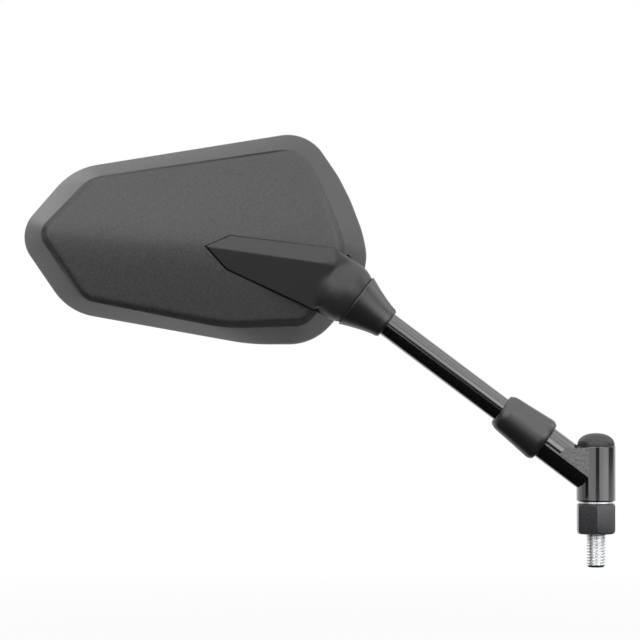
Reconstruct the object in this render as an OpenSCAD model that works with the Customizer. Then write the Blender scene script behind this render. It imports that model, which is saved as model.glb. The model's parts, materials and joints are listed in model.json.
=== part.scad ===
// Motorcycle mirror for the right-hand end of a handlebar.
// The stud points down, the arm leans out to -X, the back of the head faces -Y and the glass faces +Y.
// The origin lies on the stud axis, at the underside of the hexagon nut.

/* [Stud and nut] */
// Diameter of the mounting stud
stud_d = 10; // [8:0.5:11]
// Length of stud that stands out below the nut
stud_reach = 17.3; // [10:0.1:40]
// Chamfer at the tip of the stud
stud_tip = 1.2; // [0.5:0.1:2.5]
// Width of the hexagon nut across its flats
nut_af = 19; // [17:0.5:24]
// Height of the hexagon nut
nut_h = 15.6; // [8:0.1:25]
// Outer diameter of the bright washer above the nut
washer_d = 18.2; // [15:0.1:20]
// Thickness of the bright washer
washer_t = 1.4; // [0.8:0.1:3]
// Diameter of the head of the mounting bolt, inside the barrel
bolt_head_d = 16; // [15:0.25:16.5]
// Height of the head of the mounting bolt
bolt_head_h = 7; // [5:0.25:8]
// Socket in the bolt head, across its flats
bolt_key_af = 8; // [5:0.5:8]

/* [Elbow] */
// Outer diameter of the upright barrel
barrel_d = 20.3; // [20:0.1:26]
// Height of the barrel
barrel_h = 28.4; // [27:0.1:36]
// Depth of the counterbore that holds the bolt head
pocket_depth = 12; // [11.5:0.25:14]
// Wall of the barrel around that counterbore
pocket_wall = 1.6; // [1.5:0.1:2]
// Outer diameter of the nylon bush in the barrel
bush_d = 13.6; // [13:0.1:15]
// Height at which the arm's axis meets the barrel, above the barrel's foot
arm_meet = 10.4; // [9.5:0.1:14]
// Slope of the arm above the horizontal
arm_slope = 36.9; // [30:0.1:42]
// Outer diameter of the angled stub
stub_d = 18; // [17:0.1:19]
// Length of the stub from the barrel's axis
stub_len = 35; // [32:0.5:45]
// Thickness of the web between stub and barrel
web_t = 17.2; // [8:0.1:17.2]
// Diameter of the domed cap
cap_d = 19.4; // [19:0.1:20]
// Height of the dome
cap_h = 6.7; // [4:0.1:9]
// Wall of the domed cap
cap_wall = 1.5; // [1:0.1:2]

/* [Arm] */
// Diameter of the rod
rod_d = 13; // [12.5:0.1:14]
// Distance from the barrel's axis to the centre of the ball
arm_reach = 164; // [140:1:220]
// Diameter of the threaded foot of the rod
rod_foot_d = 10; // [8:0.5:10]
// Solid stub between the barrel and that foot
foot_gap = 5.85; // [4:0.05:10]
// Lock nut on the rod's foot, across its flats
lock_nut_af = 16; // [14:0.5:16.5]
// Height of that lock nut
lock_nut_h = 6; // [4:0.25:7]
// Length of the rubber sleeve over the lock nut
sleeve_len = 28; // [24:0.5:40]
// Largest diameter of the sleeve
sleeve_d = 23.8; // [23.4:0.1:27]
// Diameter of the sleeve's slim end
sleeve_end_d = 19.8; // [18:0.1:22]
// Length of stub that the sleeve covers
sleeve_lap = 1.5; // [0.5:0.25:4]

/* [Ball joint] */
// Diameter of the ball
ball_d = 17; // [16:0.1:17.4]
// Diameter of the slim neck under the ball
ball_neck_d = 9; // [8:0.1:9.4]
// Wall of the nylon seat around the ball
seat_wall = 1.2; // [1:0.05:1.5]
// Thread diameter of the ball's shank
shank_d = 8; // [6:0.5:9]
// Length of the ball's shank inside the rod
shank_len = 16; // [10:0.5:24]
// Length of the rubber boot along the arm
boot_len = 20.4; // [19:0.1:26]
// Diameter of the boot's small end
boot_end_d = 17; // [16:0.1:19]
// Diameter of the boot's rim
boot_rim_d = 30; // [29.8:0.1:31]
// Diameter of the neck where it meets the boot
neck_rim_d = 28.6; // [28.2:0.1:29]
// Full diameter of the neck
neck_d = 32.6; // [31:0.1:33]
// Length of the neck's round part beyond the boot
neck_len = 14.4; // [10:0.1:16]
// Height of the cup that the spring presses on the ball
cup_h = 8; // [6:0.25:9]
// Free space between cup and plug, which the spring fills
spring_h = 7.4; // [6:0.1:9]
// Wire of the spring
spring_wire = 1.8; // [1.4:0.1:2]
// Thickness of the threaded plug behind the spring
plug_t = 4; // [3:0.25:4.5]

/* [Head] */
// Width of the head
head_w = 179.8; // [165:0.1:215]
// Height of the head
head_h = 109.6; // [100:0.1:125]
// Depth from the arm's axis to the front of the rim
rim_depth = 23.5; // [23.2:0.1:30]
// Height of the straight side behind the rim
side_h = 5; // [2:0.1:8]
// Width of the lip around the glass
lip_w = 2.7; // [2.4:0.1:3.2]
// Wall of the housing
wall = 2.4; // [2:0.1:3]
// How far the raised back stands behind the arm's axis
back_rise = 9.2; // [7:0.1:11]
// Height of the step around the raised back, at its upper edge
step_top = 0.9; // [0.5:0.1:2]
// Height of that step at its lower edge
step_low = 3.4; // [1:0.1:4]
// Thickness of the glass
glass_t = 2; // [1.5:0.1:2.4]
// Thickness of the adhesive foam
foam_t = 1; // [0.6:0.1:1.2]
// Thickness of the glass carrier
carrier_t = 2; // [1.6:0.1:2.2]
// Height of the carrier's ribs
rib_h = 3; // [1.5:0.1:4]
// Gap around the bracket where it comes through the housing
shutline = 0.4; // [0.2:0.05:0.8]
// How far the bracket's ridge stands behind the arm's axis, beside the neck
ridge_rise = 16.4; // [15.5:0.1:17.5]
// How far the bracket's tip stands behind the arm's axis
tip_rise = 9.6; // [9.4:0.1:12]
// Diameter of the bracket screws
screw_d = 3.5; // [3:0.1:4]

/* [Hidden] */

$fn = 64;
run = 0.05;   // radial clearance of a running fit
slip = 0.3;   // clearance between parts that pass each other
loose = 0.15; // clearance around the cap and its skirt
eps = 0.01;   // how far a cutter reaches past a face

// The bolt is slimmer above its free thread, as the shank of a rolled thread is
shank_relief = 0.2;
shank_r = stud_d / 2 - shank_relief;

// Heights up the stud axis
washer_z = nut_h;
barrel_z = washer_z + washer_t;
barrel_top = barrel_z + barrel_h;
pocket_z = barrel_top - pocket_depth;
pocket_r = barrel_d / 2 - pocket_wall;
bolt_key_depth = 4;
thrust_t = 1.2;
spring_disc_t = 0.9;
spring_disc_rise = 0.35;
spring_z = pocket_z + thrust_t;
bolt_head_z = spring_z + 2 * (spring_disc_t + spring_disc_rise);
arm_z = barrel_z + arm_meet;

// Places along the arm, measured from the barrel's axis
sleeve_at = stub_len - sleeve_lap;
rod_at = stub_len + lock_nut_h + 1;
foot_at = barrel_d / 2 + foot_gap;
seat_r = ball_d / 2 + run + seat_wall;
socket_r = seat_r + run;
bore_r = socket_r + 0.25;
neck_rim_at = arm_reach - 7.7;
neck_end_r = norm([neck_rim_d / 2, arm_reach - neck_rim_at]);
boot_hollow_r = neck_end_r + slip;
boot_rim_at = neck_rim_at - 0.7;
boot_at = boot_rim_at - boot_len;
collar_t = 2.5;
collar_at = arm_reach - 17 - collar_t;
cup_at = arm_reach + 2.5;
cup_top = cup_at + cup_h;
plug_at = cup_top + spring_h;
tube_end = plug_at + plug_t + 0.5;
neck_end_at = neck_rim_at + neck_len;
inner_tube_r = neck_d / 2 - 1.4;

// Depths through the head
glass_y = rim_depth - 1.1;
foam_y = glass_y - glass_t;
carrier_y = foam_y - foam_t;
ledge_y = carrier_y - carrier_t;
pocket_inset = lip_w - 0.8;
ear_y = 1;
ear_t = 3;
screw_head_t = 2.4;
screw_grip = 4.5;

// Puts a child on the arm's axis, at a distance from the barrel's axis
module on_arm(along) {
  translate([0, 0, arm_z]) rotate([0, arm_slope - 90, 0]) translate([0, 0, along]) children();
}

ball_x = -arm_reach * cos(arm_slope);
ball_z = arm_z + arm_reach * sin(arm_slope);

// The head hangs on the ball: this edge and this level stay beside the neck when the head grows
edge_x = ball_x + 12.93;
low_z = ball_z - 0.2557 * head_h;
// The corner radii below belong to a head of this width and height, and shrink or grow with it
drawn_w = 179.8;
drawn_h = 109.6;
corner_unit = min(head_w / drawn_w, head_h / drawn_h);

function at_head(p) = [edge_x - p[0] * head_w, low_z + p[1] * head_h];
function unit(v) = v / norm(v);
function left_of(v) = [-v[1], v[0]];
function mix(a, b, f) = a * (1 - f) + b * f;
function clamp(v, lo, hi) = min(max(v, lo), hi);
function positive(angle) = angle < 0 ? angle + 360 : angle;

// Corners of the head's outline, anticlockwise from the left tip, as shares of its width and height.
// Each has a radius, a number of points on its arc and a number of cuts on the edge that follows it.
head_corners = [
  [1.0264, 0.526, 17.8, 7, 4],
  [0.8722, 0.156, 31, 6, 7],
  [0.3421, 0.000, 110, 4, 2],
  [0.1564, 0.000, 29, 6, 1],
  [0.0900, 0.124, 36, 2, 1],
  [0.0113, 0.323, 24, 3, 1],
  [0.0000, 0.423, 24, 3, 1],
  [0.0135, 0.538, 60, 2, 1],
  [0.0490, 0.691, 60, 2, 1],
  [0.0844, 0.806, 60, 2, 1],
  [0.1745, 1.022, 22, 7, 9],
  [0.8587, 0.842, 35, 7, 3]
];
// Corners of the raised back, in the same order
back_corners = [
  [0.9428, 0.532, 7],
  [0.8163, 0.211, 12],
  [0.4107, 0.078, 90],
  [0.1810, 0.089, 12],
  [0.1322, 0.174, 20],
  [0.0824, 0.356, 20],
  [0.0663, 0.457, 17],
  [0.0746, 0.528, 22],
  [0.1006, 0.631, 40],
  [0.1378, 0.766, 40],
  [0.2027, 0.924, 14],
  [0.7919, 0.782, 16]
];
corner_count = len(head_corners);

function flat_corners(table) = [for (c = table) at_head(c)];
head_flat = flat_corners(head_corners);
back_flat = flat_corners(back_corners);

// A corner of an outline whose edges have all moved inwards by an inset
function inset_corner(flat, i, inset) =
  let (
    n = len(flat), here = flat[i],
    a = left_of(unit(here - flat[(i + n - 1) % n])),
    b = left_of(unit(flat[(i + 1) % n] - here))
  ) here + inset * (a + b) / (1 + a * b);
function inset_outline(flat, inset) = [for (i = [0:len(flat) - 1]) inset_corner(flat, i, inset)];

// Points of one rounded corner of an inset outline
function corner_arc(flat, table, i, inset) =
  let (
    n = len(flat), here = flat[i], count = head_corners[i][3],
    radius = max(table[i][2] * corner_unit - inset, 1),
    centre = inset_corner(flat, i, inset + radius),
    a = -left_of(unit(here - flat[(i + n - 1) % n])),
    b = -left_of(unit(flat[(i + 1) % n] - here)),
    from = atan2(a[1], a[0]),
    turn = positive(atan2(b[1], b[0]) - from)
  ) [for (k = [0:count - 1]) let (angle = from + turn * k / (count - 1))
    centre + radius * [cos(angle), sin(angle)]];

// A whole rounded outline, with cuts along its straight edges
function rounded(flat, table, inset) =
  let (arcs = [for (i = [0:corner_count - 1]) corner_arc(flat, table, i, inset)])
  [for (i = [0:corner_count - 1]) let (
      arc = arcs[i], last = arc[len(arc) - 1],
      next = arcs[(i + 1) % corner_count][0], cuts = head_corners[i][4]
    ) each concat(arc, [for (k = [1:1:cuts - 1]) mix(last, next, k / cuts)])];
// Outlines start at the very tip, the middle point of the first arc
function rolled(ring, first) = [for (i = [0:len(ring) - 1]) ring[(i + first) % len(ring)]];
tip_point = (head_corners[0][3] - 1) / 2;
function head_outline(inset) = rolled(rounded(head_flat, head_corners, inset), tip_point);
function back_outline(inset) = rolled(rounded(back_flat, back_corners, inset), tip_point);

// The soft ridge that runs along the raised back
ridge_drop = -0.085;
ridge_z0 = low_z + 0.470 * head_h;
ridge_x0 = edge_x - 0.4586 * head_w;
function ridge_z(x) = ridge_z0 + ridge_drop * (x - ridge_x0);
back_slope = 0.145;
back_slope_low = 0.165;
ridge_soft = 7;
end_fall = 3.4;
function back_y(p) =
  let (
    up = p[1] - ridge_z(p[0]),
    slope = up > 0 ? back_slope : back_slope_low,
    along = (p[0] - ridge_x0 + 5) / (0.47 * head_w)
  ) -back_rise + slope * (sqrt(up * up + ridge_soft * ridge_soft) - ridge_soft) + end_fall * along * along;
function step_h(p) = mix(step_low, step_top, clamp((p[1] - low_z) / head_h * 1.5 - 0.25, 0, 1));

// Rings of the housing. A ring of the back closes in on its ridge as its share goes to one
function flat_ring(outline, y) = [for (p = outline) [p[0], y, p[1]]];
// The share of a ring's points is drawn to the ridge in pairs, one from below and one from above it
function back_ring(inset, share, sink) =
  let (ring = back_outline(inset), n = len(ring))
  [for (i = [0:n - 1]) let (
      x = clamp((ring[i][0] + ring[(n - i) % n][0]) / 2, edge_x - 0.86 * head_w, edge_x - 0.2 * head_w),
      q = mix(ring[i], [x, ridge_z(x)], share)
    ) [q[0], back_y(q) + sink, q[1]]];
function step_ring(inset, share, sink) =
  let (outer = head_outline(inset), inner = back_outline(inset))
  [for (i = [0:len(outer) - 1]) let (q = mix(outer[i], inner[i], share))
    [q[0], back_y(inner[i]) + step_h(inner[i]) + sink, q[1]]];

outer_rings = [
  flat_ring(head_outline(0.7), rim_depth),
  flat_ring(head_outline(0), rim_depth - 0.7),
  flat_ring(head_outline(0), rim_depth - side_h),
  flat_ring(head_outline(0.6), rim_depth - side_h - 1.6),
  step_ring(0, 0.86, 0.8),
  step_ring(0, 0.94, 0),
  step_ring(0, 1, 0),
  back_ring(0.5, 0, 0.8),
  back_ring(1.6, 0, 0.1),
  back_ring(3.2, 0, 0),
  back_ring(3.2, 0.22, 0),
  back_ring(3.2, 0.46, 0),
  back_ring(3.2, 0.7, 0),
  back_ring(3.2, 0.88, 0)
];
inner_rings = [
  back_ring(5, 0.86, wall),
  back_ring(5, 0.6, wall),
  back_ring(5, 0.3, wall),
  back_ring(5, 0, wall),
  step_ring(wall, 1, wall),
  flat_ring(head_outline(lip_w + 3), ledge_y - 2.5),
  flat_ring(head_outline(lip_w + 2.2), ledge_y),
  flat_ring(head_outline(pocket_inset), ledge_y),
  flat_ring(head_outline(pocket_inset), glass_y + 0.15),
  flat_ring(head_outline(lip_w), glass_y + 0.6),
  flat_ring(head_outline(lip_w), rim_depth)
];

// A closed skin through rings that all have the same number of points.
// The first and last rings are closed by strips that run across them, from one long side to the other.
module skin(rings) {
  n = len(rings[0]);
  m = len(rings);
  end = (m - 1) * n;
  half = floor((n - 1) / 2);
  points = [for (ring = rings) each ring];
  sides = [for (j = [0:m - 2], i = [0:n - 1]) let (a = j * n + i, b = j * n + (i + 1) % n)
    each [[a, a + n, b], [b, a + n, b + n]]];
  first = concat([[0, 1, n - 1]], [for (i = [1:half - 1])
    each [[i, i + 1, n - i], [i + 1, n - i - 1, n - i]]]);
  last = [for (f = first) [end + f[0], end + f[2], end + f[1]]];
  polyhedron(points, concat(sides, first, last), convexity = 8);
}

// The bracket's outline on the back of the head, anticlockwise from its tip, in x and z from the ball
bracket_flat = [
  [-70.75, 22.95], [-59.95, 11.05], [-14.85, -9.95], [4.85, 16.4], [-4.45, 21.85], [-58.15, 28.45]
];
ridge_end = [-5.15, 13.35];
bracket_outline = [for (p = bracket_flat) p + [ball_x, ball_z]];
ridge_end_at = ridge_end + [ball_x, ball_z];
upper_slope = 0.265;
lower_slope = -0.25;
// Depth of a facet that holds the ridge and leans by its own slope across it
function facet_y(p, slope) =
  let (
    tip = bracket_outline[0], run_x = ridge_end_at[0] - tip[0], run_z = ridge_end_at[1] - tip[1],
    lean = (-(ridge_rise - tip_rise) - slope * run_z) / run_x
  ) -tip_rise + lean * (p[0] - tip[0]) + slope * (p[1] - tip[1]);

// The faceted cover: two long facets on a ridge, and a short one that falls to the neck
module bracket_cover(inset, sink, floor_y) {
  flat = inset_outline(bracket_outline, inset);
  ridge = ridge_end_at;
  front = [
    [flat[0], facet_y(flat[0], upper_slope)],
    [flat[1], facet_y(flat[1], lower_slope)],
    [flat[2], facet_y(flat[2], lower_slope)],
    [flat[3], -6],
    [flat[4], facet_y(flat[4], upper_slope)],
    [flat[5], facet_y(flat[5], upper_slope)],
    [ridge, facet_y(ridge, upper_slope)]
  ];
  points = concat(
    [for (f = front) [f[0][0], f[1] + sink, f[0][1]]],
    [for (p = flat) [p[0], floor_y, p[1]]]
  );
  sides = [for (i = [0:5]) [i, (i + 1) % 6, (i + 1) % 6 + 7, i + 7]];
  facets = [[6, 2, 1, 0], [6, 3, 2], [6, 4, 3], [6, 0, 5, 4]];
  polyhedron(points, concat(sides, facets, [[for (i = [7:12]) i]]), convexity = 4);
}

// Places of the bracket's ears, from the ball, and how far each ear's tongue reaches towards the cover
ear_places = [[-78.5, 21.5], [-34, 33.5], [-41.5, -5.5]];
ear_ways = [[15, 0], [0, -11], [0, 11]];
ear_r = 5;
tongue_w = 7;
module at_ears(y) {
  for (p = ear_places) translate([ball_x + p[0], y, ball_z + p[1]]) rotate([-90, 0, 0]) children();
}
module ear_tongues() {
  for (i = [0:len(ear_places) - 1]) let (p = ear_places[i], way = ear_ways[i])
    translate([ball_x + p[0], ear_y, ball_z + p[1]]) rotate([0, -atan2(way[1], way[0]), 0])
      translate([0, 0, -tongue_w / 2]) cube([norm(way), ear_t, tongue_w]);
}

// A hexagon prism that stands on z = 0, with a corner towards -Y and both ends chamfered
module hex_nut(af, h, bore, low_chamfer, high_chamfer) {
  corner_r = af / 2 / cos(30);
  difference() {
    intersection() {
      rotate(30) cylinder(r = corner_r, h = h, $fn = 6);
      rotate_extrude() polygon([
        [0, 0], [af / 2 - 0.3, 0], [corner_r + 0.2, low_chamfer],
        [corner_r + 0.2, h - high_chamfer], [af / 2 - 0.3, h], [0, h]
      ]);
    }
    translate([0, 0, -eps]) cylinder(d = bore, h = h + 2 * eps);
  }
}

module mount_bolt() {
  color("silver") difference() {
    union() {
      rotate_extrude() polygon([
        [0, -stud_reach], [stud_d / 2 - stud_tip * 0.7, -stud_reach], [stud_d / 2, stud_tip - stud_reach],
        [stud_d / 2, 0], [shank_r, 0], [shank_r, bolt_head_z + eps], [0, bolt_head_z + eps]
      ]);
      translate([0, 0, bolt_head_z]) rotate_extrude() polygon([
        [0, 0], [bolt_head_d / 2, 0], [bolt_head_d / 2, bolt_head_h - 0.6],
        [bolt_head_d / 2 - 0.6, bolt_head_h], [0, bolt_head_h]
      ]);
    }
    translate([0, 0, bolt_head_z + bolt_head_h - bolt_key_depth])
      cylinder(d = bolt_key_af / cos(30), h = bolt_key_depth + 1, $fn = 6);
  }
}

// Two dished springs, base to base, that keep the swivel stiff
module disc_springs() {
  inner = stud_d / 2 + 0.2;
  outer = bolt_head_d / 2 - 0.1;
  rise = spring_disc_rise;
  t = spring_disc_t;
  color("dimgray") translate([0, 0, spring_z]) {
    rotate_extrude() polygon([[inner, rise], [outer, 0], [outer, t], [inner, t + rise]]);
    translate([0, 0, t + rise]) rotate_extrude()
      polygon([[inner, 0], [outer, rise], [outer, t + rise], [inner, t]]);
  }
}

module ring_washer(outer_d, inner_d, z, t) {
  translate([0, 0, z]) difference() {
    cylinder(d = outer_d, h = t);
    translate([0, 0, -eps]) cylinder(d = inner_d, h = t + 2 * eps);
  }
}

module lock_washer() {
  color("gainsboro") ring_washer(washer_d, stud_d + 2 * run + 0.4, washer_z, washer_t);
}

module thrust_washer() {
  color("ivory") ring_washer(2 * pocket_r - 2 * slip, stud_d + 2 * slip, pocket_z, thrust_t);
}

module clamp_nut() {
  color("#2b2b2c") hex_nut(nut_af, nut_h, stud_d + 2 * run, 1.9, 0.9);
}

module elbow() {
  web_at = 24;
  web_top = barrel_top - 0.5;
  web_share = 0.66;
  corner_x = 1.2 - (barrel_top - arm_z - web_share * stub_d / 2 * cos(arm_slope)) / tan(arm_slope);
  color("#161617") difference() {
    union() {
      translate([0, 0, barrel_z]) rotate_extrude() polygon([
        [0, 0], [barrel_d / 2 - 0.5, 0], [barrel_d / 2, 0.5], [barrel_d / 2, barrel_h - 0.4],
        [barrel_d / 2 - 0.4, barrel_h], [0, barrel_h]
      ]);
      on_arm(0) cylinder(d = stub_d, h = stub_len);
      translate([0, web_t / 2, 0]) rotate([90, 0, 0]) linear_extrude(web_t) polygon([
        [0, arm_z], [-web_at * cos(arm_slope), arm_z + web_at * sin(arm_slope)],
        [corner_x, web_top], [-1, web_top]
      ]);
    }
    translate([0, 0, barrel_z - eps]) cylinder(d = bush_d + 2 * run, h = barrel_h);
    translate([0, 0, pocket_z]) cylinder(r = pocket_r, h = pocket_depth + eps);
    translate([0, 0, barrel_top]) cylinder(d = cap_d + 2 * loose, h = cap_h);
    on_arm(foot_at - 1) cylinder(d = rod_foot_d + 2 * run, h = stub_len - foot_at + 2);
  }
}

module swivel_bush() {
  color("ivory") ring_washer(bush_d, 2 * (shank_r + run), barrel_z, barrel_h - pocket_depth);
}

// Height of a dome above its foot, at a share of its radius
function dome(share, h) = h * pow(1 - pow(share, 2.2), 1 / 2.1);
module barrel_cap() {
  steps = 10;
  skirt = 1.2;
  brim = 0.6;
  r = cap_d / 2;
  skirt_r = pocket_r - loose;
  inner_r = skirt_r - cap_wall;
  inner_h = cap_h - cap_wall;
  color("#2e2e30") translate([0, 0, barrel_top]) rotate_extrude() polygon(concat(
    [for (k = [0:steps]) [r * sin(90 * k / steps), dome(sin(90 * k / steps), cap_h - brim) + brim]],
    [[r, 0], [skirt_r, 0], [skirt_r, -skirt], [inner_r, -skirt]],
    [for (k = [steps:-1:0]) [inner_r * sin(90 * k / steps), dome(sin(90 * k / steps), inner_h)]]
  ));
}

module stem_rod() {
  r = rod_d / 2;
  color("#0f0f10") on_arm(0) difference() {
    rotate_extrude() polygon([
      [0, foot_at], [rod_foot_d / 2 - 0.8, foot_at], [rod_foot_d / 2, foot_at + 0.8],
      [rod_foot_d / 2, rod_at], [r - 0.6, rod_at], [r, rod_at + 0.6], [r, collar_at], [0, collar_at]
    ]);
    translate([0, 0, collar_at - shank_len - 1]) cylinder(d = shank_d + 2 * run, h = shank_len + 2);
  }
}

module stem_lock_nut() {
  color("dimgray") on_arm(stub_len) hex_nut(lock_nut_af, lock_nut_h, rod_foot_d + 2 * run, 0.8, 0.8);
}

module ball_stud() {
  color("lightsteelblue") on_arm(0) union() {
    translate([0, 0, arm_reach]) sphere(d = ball_d);
    rotate_extrude() polygon([
      [0, collar_at - shank_len], [shank_d / 2, collar_at - shank_len], [shank_d / 2, collar_at],
      [rod_d / 2, collar_at], [rod_d / 2, collar_at + collar_t - 0.5],
      [rod_d / 2 - 0.5, collar_at + collar_t], [ball_neck_d / 2, collar_at + collar_t],
      [ball_neck_d / 2, arm_reach], [0, arm_reach]
    ]);
  }
}

module lower_sleeve() {
  r = sleeve_d / 2;
  r_end = sleeve_end_d / 2;
  r_bore = rod_d / 2 + run;
  r_room = max(stub_d / 2, lock_nut_af / 2 / cos(30)) + slip;
  room = rod_at - sleeve_at + 0.5;
  color("#2c2c2e") on_arm(sleeve_at) rotate_extrude() polygon([
    [r_room, 0], [r - 1.4, 0], [r - 0.5, 0.5], [r - 0.1, 1.5], [r, 2.8], [r - 0.3, 5.5],
    [mix(r, r_end, 0.5) - 0.1, sleeve_len * 0.5], [r_end, sleeve_len - 3], [r_end - 0.3, sleeve_len - 1.5],
    [r_end - 1.1, sleeve_len - 0.4], [r_end - 2.1, sleeve_len], [r_bore, sleeve_len],
    [r_bore, room], [r_room, room]
  ]);
}

// Radius of the boot at a share of its length: a slim collar that flares out in a hollow curve
function flare(share) = mix(boot_end_d / 2, boot_rim_d / 2, pow(share, 1.3));
module neck_boot() {
  steps = 12;
  color("#303032") on_arm(0) difference() {
    rotate_extrude() polygon(concat(
      [[rod_d / 2 + run, boot_at], [boot_end_d / 2 - 1, boot_at], [boot_end_d / 2 - 0.3, boot_at + 0.3]],
      [for (k = [0:steps]) [flare(k / steps), boot_at + 1 + (boot_len - 1.3) * k / steps]],
      [[boot_rim_d / 2 - 0.3, boot_rim_at], [rod_d / 2 + run, boot_rim_at]]
    ));
    translate([0, 0, arm_reach]) sphere(r = boot_hollow_r);
  }
}

// A band of nylon around the ball, open towards the rod and at its top
module ball_seat() {
  mouth = 54;
  top = 7;
  reach = seat_r * 1.5;
  color("ivory") on_arm(arm_reach) difference() {
    sphere(r = seat_r);
    sphere(r = ball_d / 2 + run);
    translate([0, 0, -reach]) cylinder(r1 = reach * tan(mouth), r2 = 0.02, h = reach);
    translate([0, 0, top]) cylinder(r = seat_r, h = seat_r);
  }
}

// Outer profile of the round neck: a ball-shaped end, a swelling side and a shoulder under the facets
module neck_profile() {
  from = 40;
  to = acos((arm_reach - neck_rim_at) / neck_end_r);
  rim_r = neck_rim_d / 2;
  full_r = neck_d / 2;
  steps = 6;
  polygon(concat(
    [[0, arm_reach - neck_end_r * cos(from)]],
    [for (k = [0:steps]) let (a = mix(from, to, k / steps))
      [neck_end_r * sin(a), arm_reach - neck_end_r * cos(a)]],
    [
      [mix(rim_r, full_r, 0.55), neck_rim_at + 2.6], [mix(rim_r, full_r, 0.9), neck_rim_at + 5],
      [full_r, neck_rim_at + 8], [full_r, neck_end_at], [full_r - 3.6, neck_end_at + 5], [0, neck_end_at + 5]
    ]
  ));
}

module arm_bracket() {
  mouth_from = arm_reach - neck_end_r;
  mouth_to = arm_reach - 5.2;
  shell_t = 2.6;
  shell_side = 3;
  thread_run = 12;
  half_span = 60;
  tube_cut = -3;
  hollow_from = -80;
  hollow_w = 45;
  color("#262627") difference() {
    union() {
      on_arm(0) rotate_extrude() neck_profile();
      bracket_cover(0, 0, ear_y + ear_t);
      intersection() {
        on_arm(arm_reach) cylinder(r = inner_tube_r, h = tube_end - arm_reach);
        translate([ball_x - half_span, tube_cut, ball_z - half_span])
          cube([2 * half_span, inner_tube_r + 6, 2 * half_span]);
      }
      at_ears(ear_y) cylinder(r = ear_r, h = ear_t);
      ear_tongues();
    }
    on_arm(arm_reach) sphere(r = socket_r);
    on_arm(arm_reach) cylinder(r = bore_r, h = tube_end - arm_reach + thread_run);
    on_arm(mouth_from) cylinder(r1 = 12, r2 = 8.2, h = mouth_to - mouth_from);
    at_ears(0) cylinder(d = screw_d + 0.6, h = ear_y + ear_t + 1);
    intersection() {
      bracket_cover(shell_side, shell_t, ear_y + ear_t + 1);
      translate([ball_x + hollow_from, -2 * ridge_rise, ball_z - half_span])
        cube([hollow_w, 3 * ridge_rise, 2 * half_span]);
    }
  }
}

module pressure_cup() {
  r = bore_r - run;
  color("whitesmoke") on_arm(0) difference() {
    translate([0, 0, cup_at]) cylinder(r = r, h = cup_h);
    translate([0, 0, arm_reach]) sphere(r = socket_r);
    translate([0, 0, cup_top - 1.5]) difference() {
      cylinder(r = r - 1, h = 2);
      cylinder(r = r - 1.6 - spring_wire * 2, h = 2);
    }
  }
}

// Wire swept along a helix, with its end turns pressed flat
module preload_spring() {
  coil_r = bore_r - run - 1.4 - spring_wire / 2 - slip;
  turns = 4.5;
  per_turn = 16;
  sides = 6;
  low = cup_top - 1.5 + spring_wire / 2;
  high = plug_at - spring_wire / 2;
  rings = turns * per_turn;
  points = [for (k = [0:rings]) let (
      a = 360 * k / per_turn,
      rise = mix(low, high, clamp((k - per_turn * 0.75) / (rings - per_turn * 1.5), 0, 1))
    ) each [for (j = [0:sides - 1]) let (b = 360 * j / sides, r = coil_r + spring_wire / 2 * cos(b))
      [r * cos(a), r * sin(a), rise + spring_wire / 2 * sin(b)]]];
  faces = concat(
    [for (k = [0:rings - 1], j = [0:sides - 1]) let (p = k * sides + j, q = k * sides + (j + 1) % sides)
      each [[p, q, p + sides], [q, q + sides, p + sides]]],
    [[for (j = [sides - 1:-1:0]) j]],
    [[for (j = [0:sides - 1]) rings * sides + j]]
  );
  color("silver") on_arm(0) polyhedron(points, faces, convexity = 6);
}

module preload_plug() {
  color("gray") on_arm(plug_at) difference() {
    cylinder(r = bore_r - run, h = plug_t);
    translate([0, 0, 1.2]) cylinder(d = 8 / cos(30), h = plug_t, $fn = 6);
  }
}

// The shell, its screw posts, and the opening that the bracket fills
module rear_housing() {
  post_r = 4.2;
  opening_y = ear_y + ear_t + 5;
  way_from = arm_reach - neck_end_r - 3.5;
  color("#39393b") difference() {
    union() {
      skin(concat(inner_rings, outer_rings));
      for (p = ear_places) let (q = [ball_x + p[0], ball_z + p[1]], y = back_y(q) + 1)
        translate([q[0], y, q[1]]) rotate([-90, 0, 0]) cylinder(r = post_r, h = ear_y - y);
    }
    translate([0, opening_y, 0]) rotate([90, 0, 0]) linear_extrude(opening_y + 2 * back_rise)
      polygon(inset_outline(bracket_outline, -shutline));
    on_arm(way_from) cylinder(r = neck_d / 2 + shutline, h = neck_end_at + 4 - way_from);
    at_ears(ear_y - screw_grip) cylinder(d = screw_d + 2 * run, h = screw_grip + 1);
  }
}

module bracket_screws() {
  shank = screw_grip + ear_t - 0.5;
  key_depth = 1.4;
  color("silver") at_ears(ear_y + ear_t - shank) difference() {
    union() {
      cylinder(d = screw_d, h = shank);
      translate([0, 0, shank]) cylinder(d = 2 * screw_d, h = screw_head_t);
    }
    translate([0, 0, shank + screw_head_t - key_depth]) cylinder(d = screw_d, h = key_depth + 1, $fn = 6);
  }
}

module head_plate(inset, y, t) {
  translate([0, y + t, 0]) rotate([90, 0, 0]) linear_extrude(t) polygon(head_outline(inset));
}

module glass_carrier() {
  rib_t = 1.6;
  left = edge_x - 0.88 * head_w;
  right = edge_x - 0.34 * head_w;
  low = low_z + 0.32 * head_h;
  high = low_z + 0.72 * head_h;
  color("#1d1d1e") {
    head_plate(pocket_inset + 0.4, ledge_y, carrier_t);
    for (k = [0:3]) translate([mix(left + 12, right, k / 3), ledge_y - rib_h, low])
      cube([rib_t, rib_h, high - low]);
    for (k = [0:2]) translate([left + 12, ledge_y - rib_h, mix(low, high - rib_t, k / 2)])
      cube([right - left - 12 + rib_t, rib_h, rib_t]);
  }
}

module foam_pad() {
  color("#505052") head_plate(lip_w + 4, carrier_y, foam_t);
}

module mirror_glass() {
  color("lightblue") head_plate(pocket_inset + 0.3, foam_y, glass_t);
}

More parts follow.
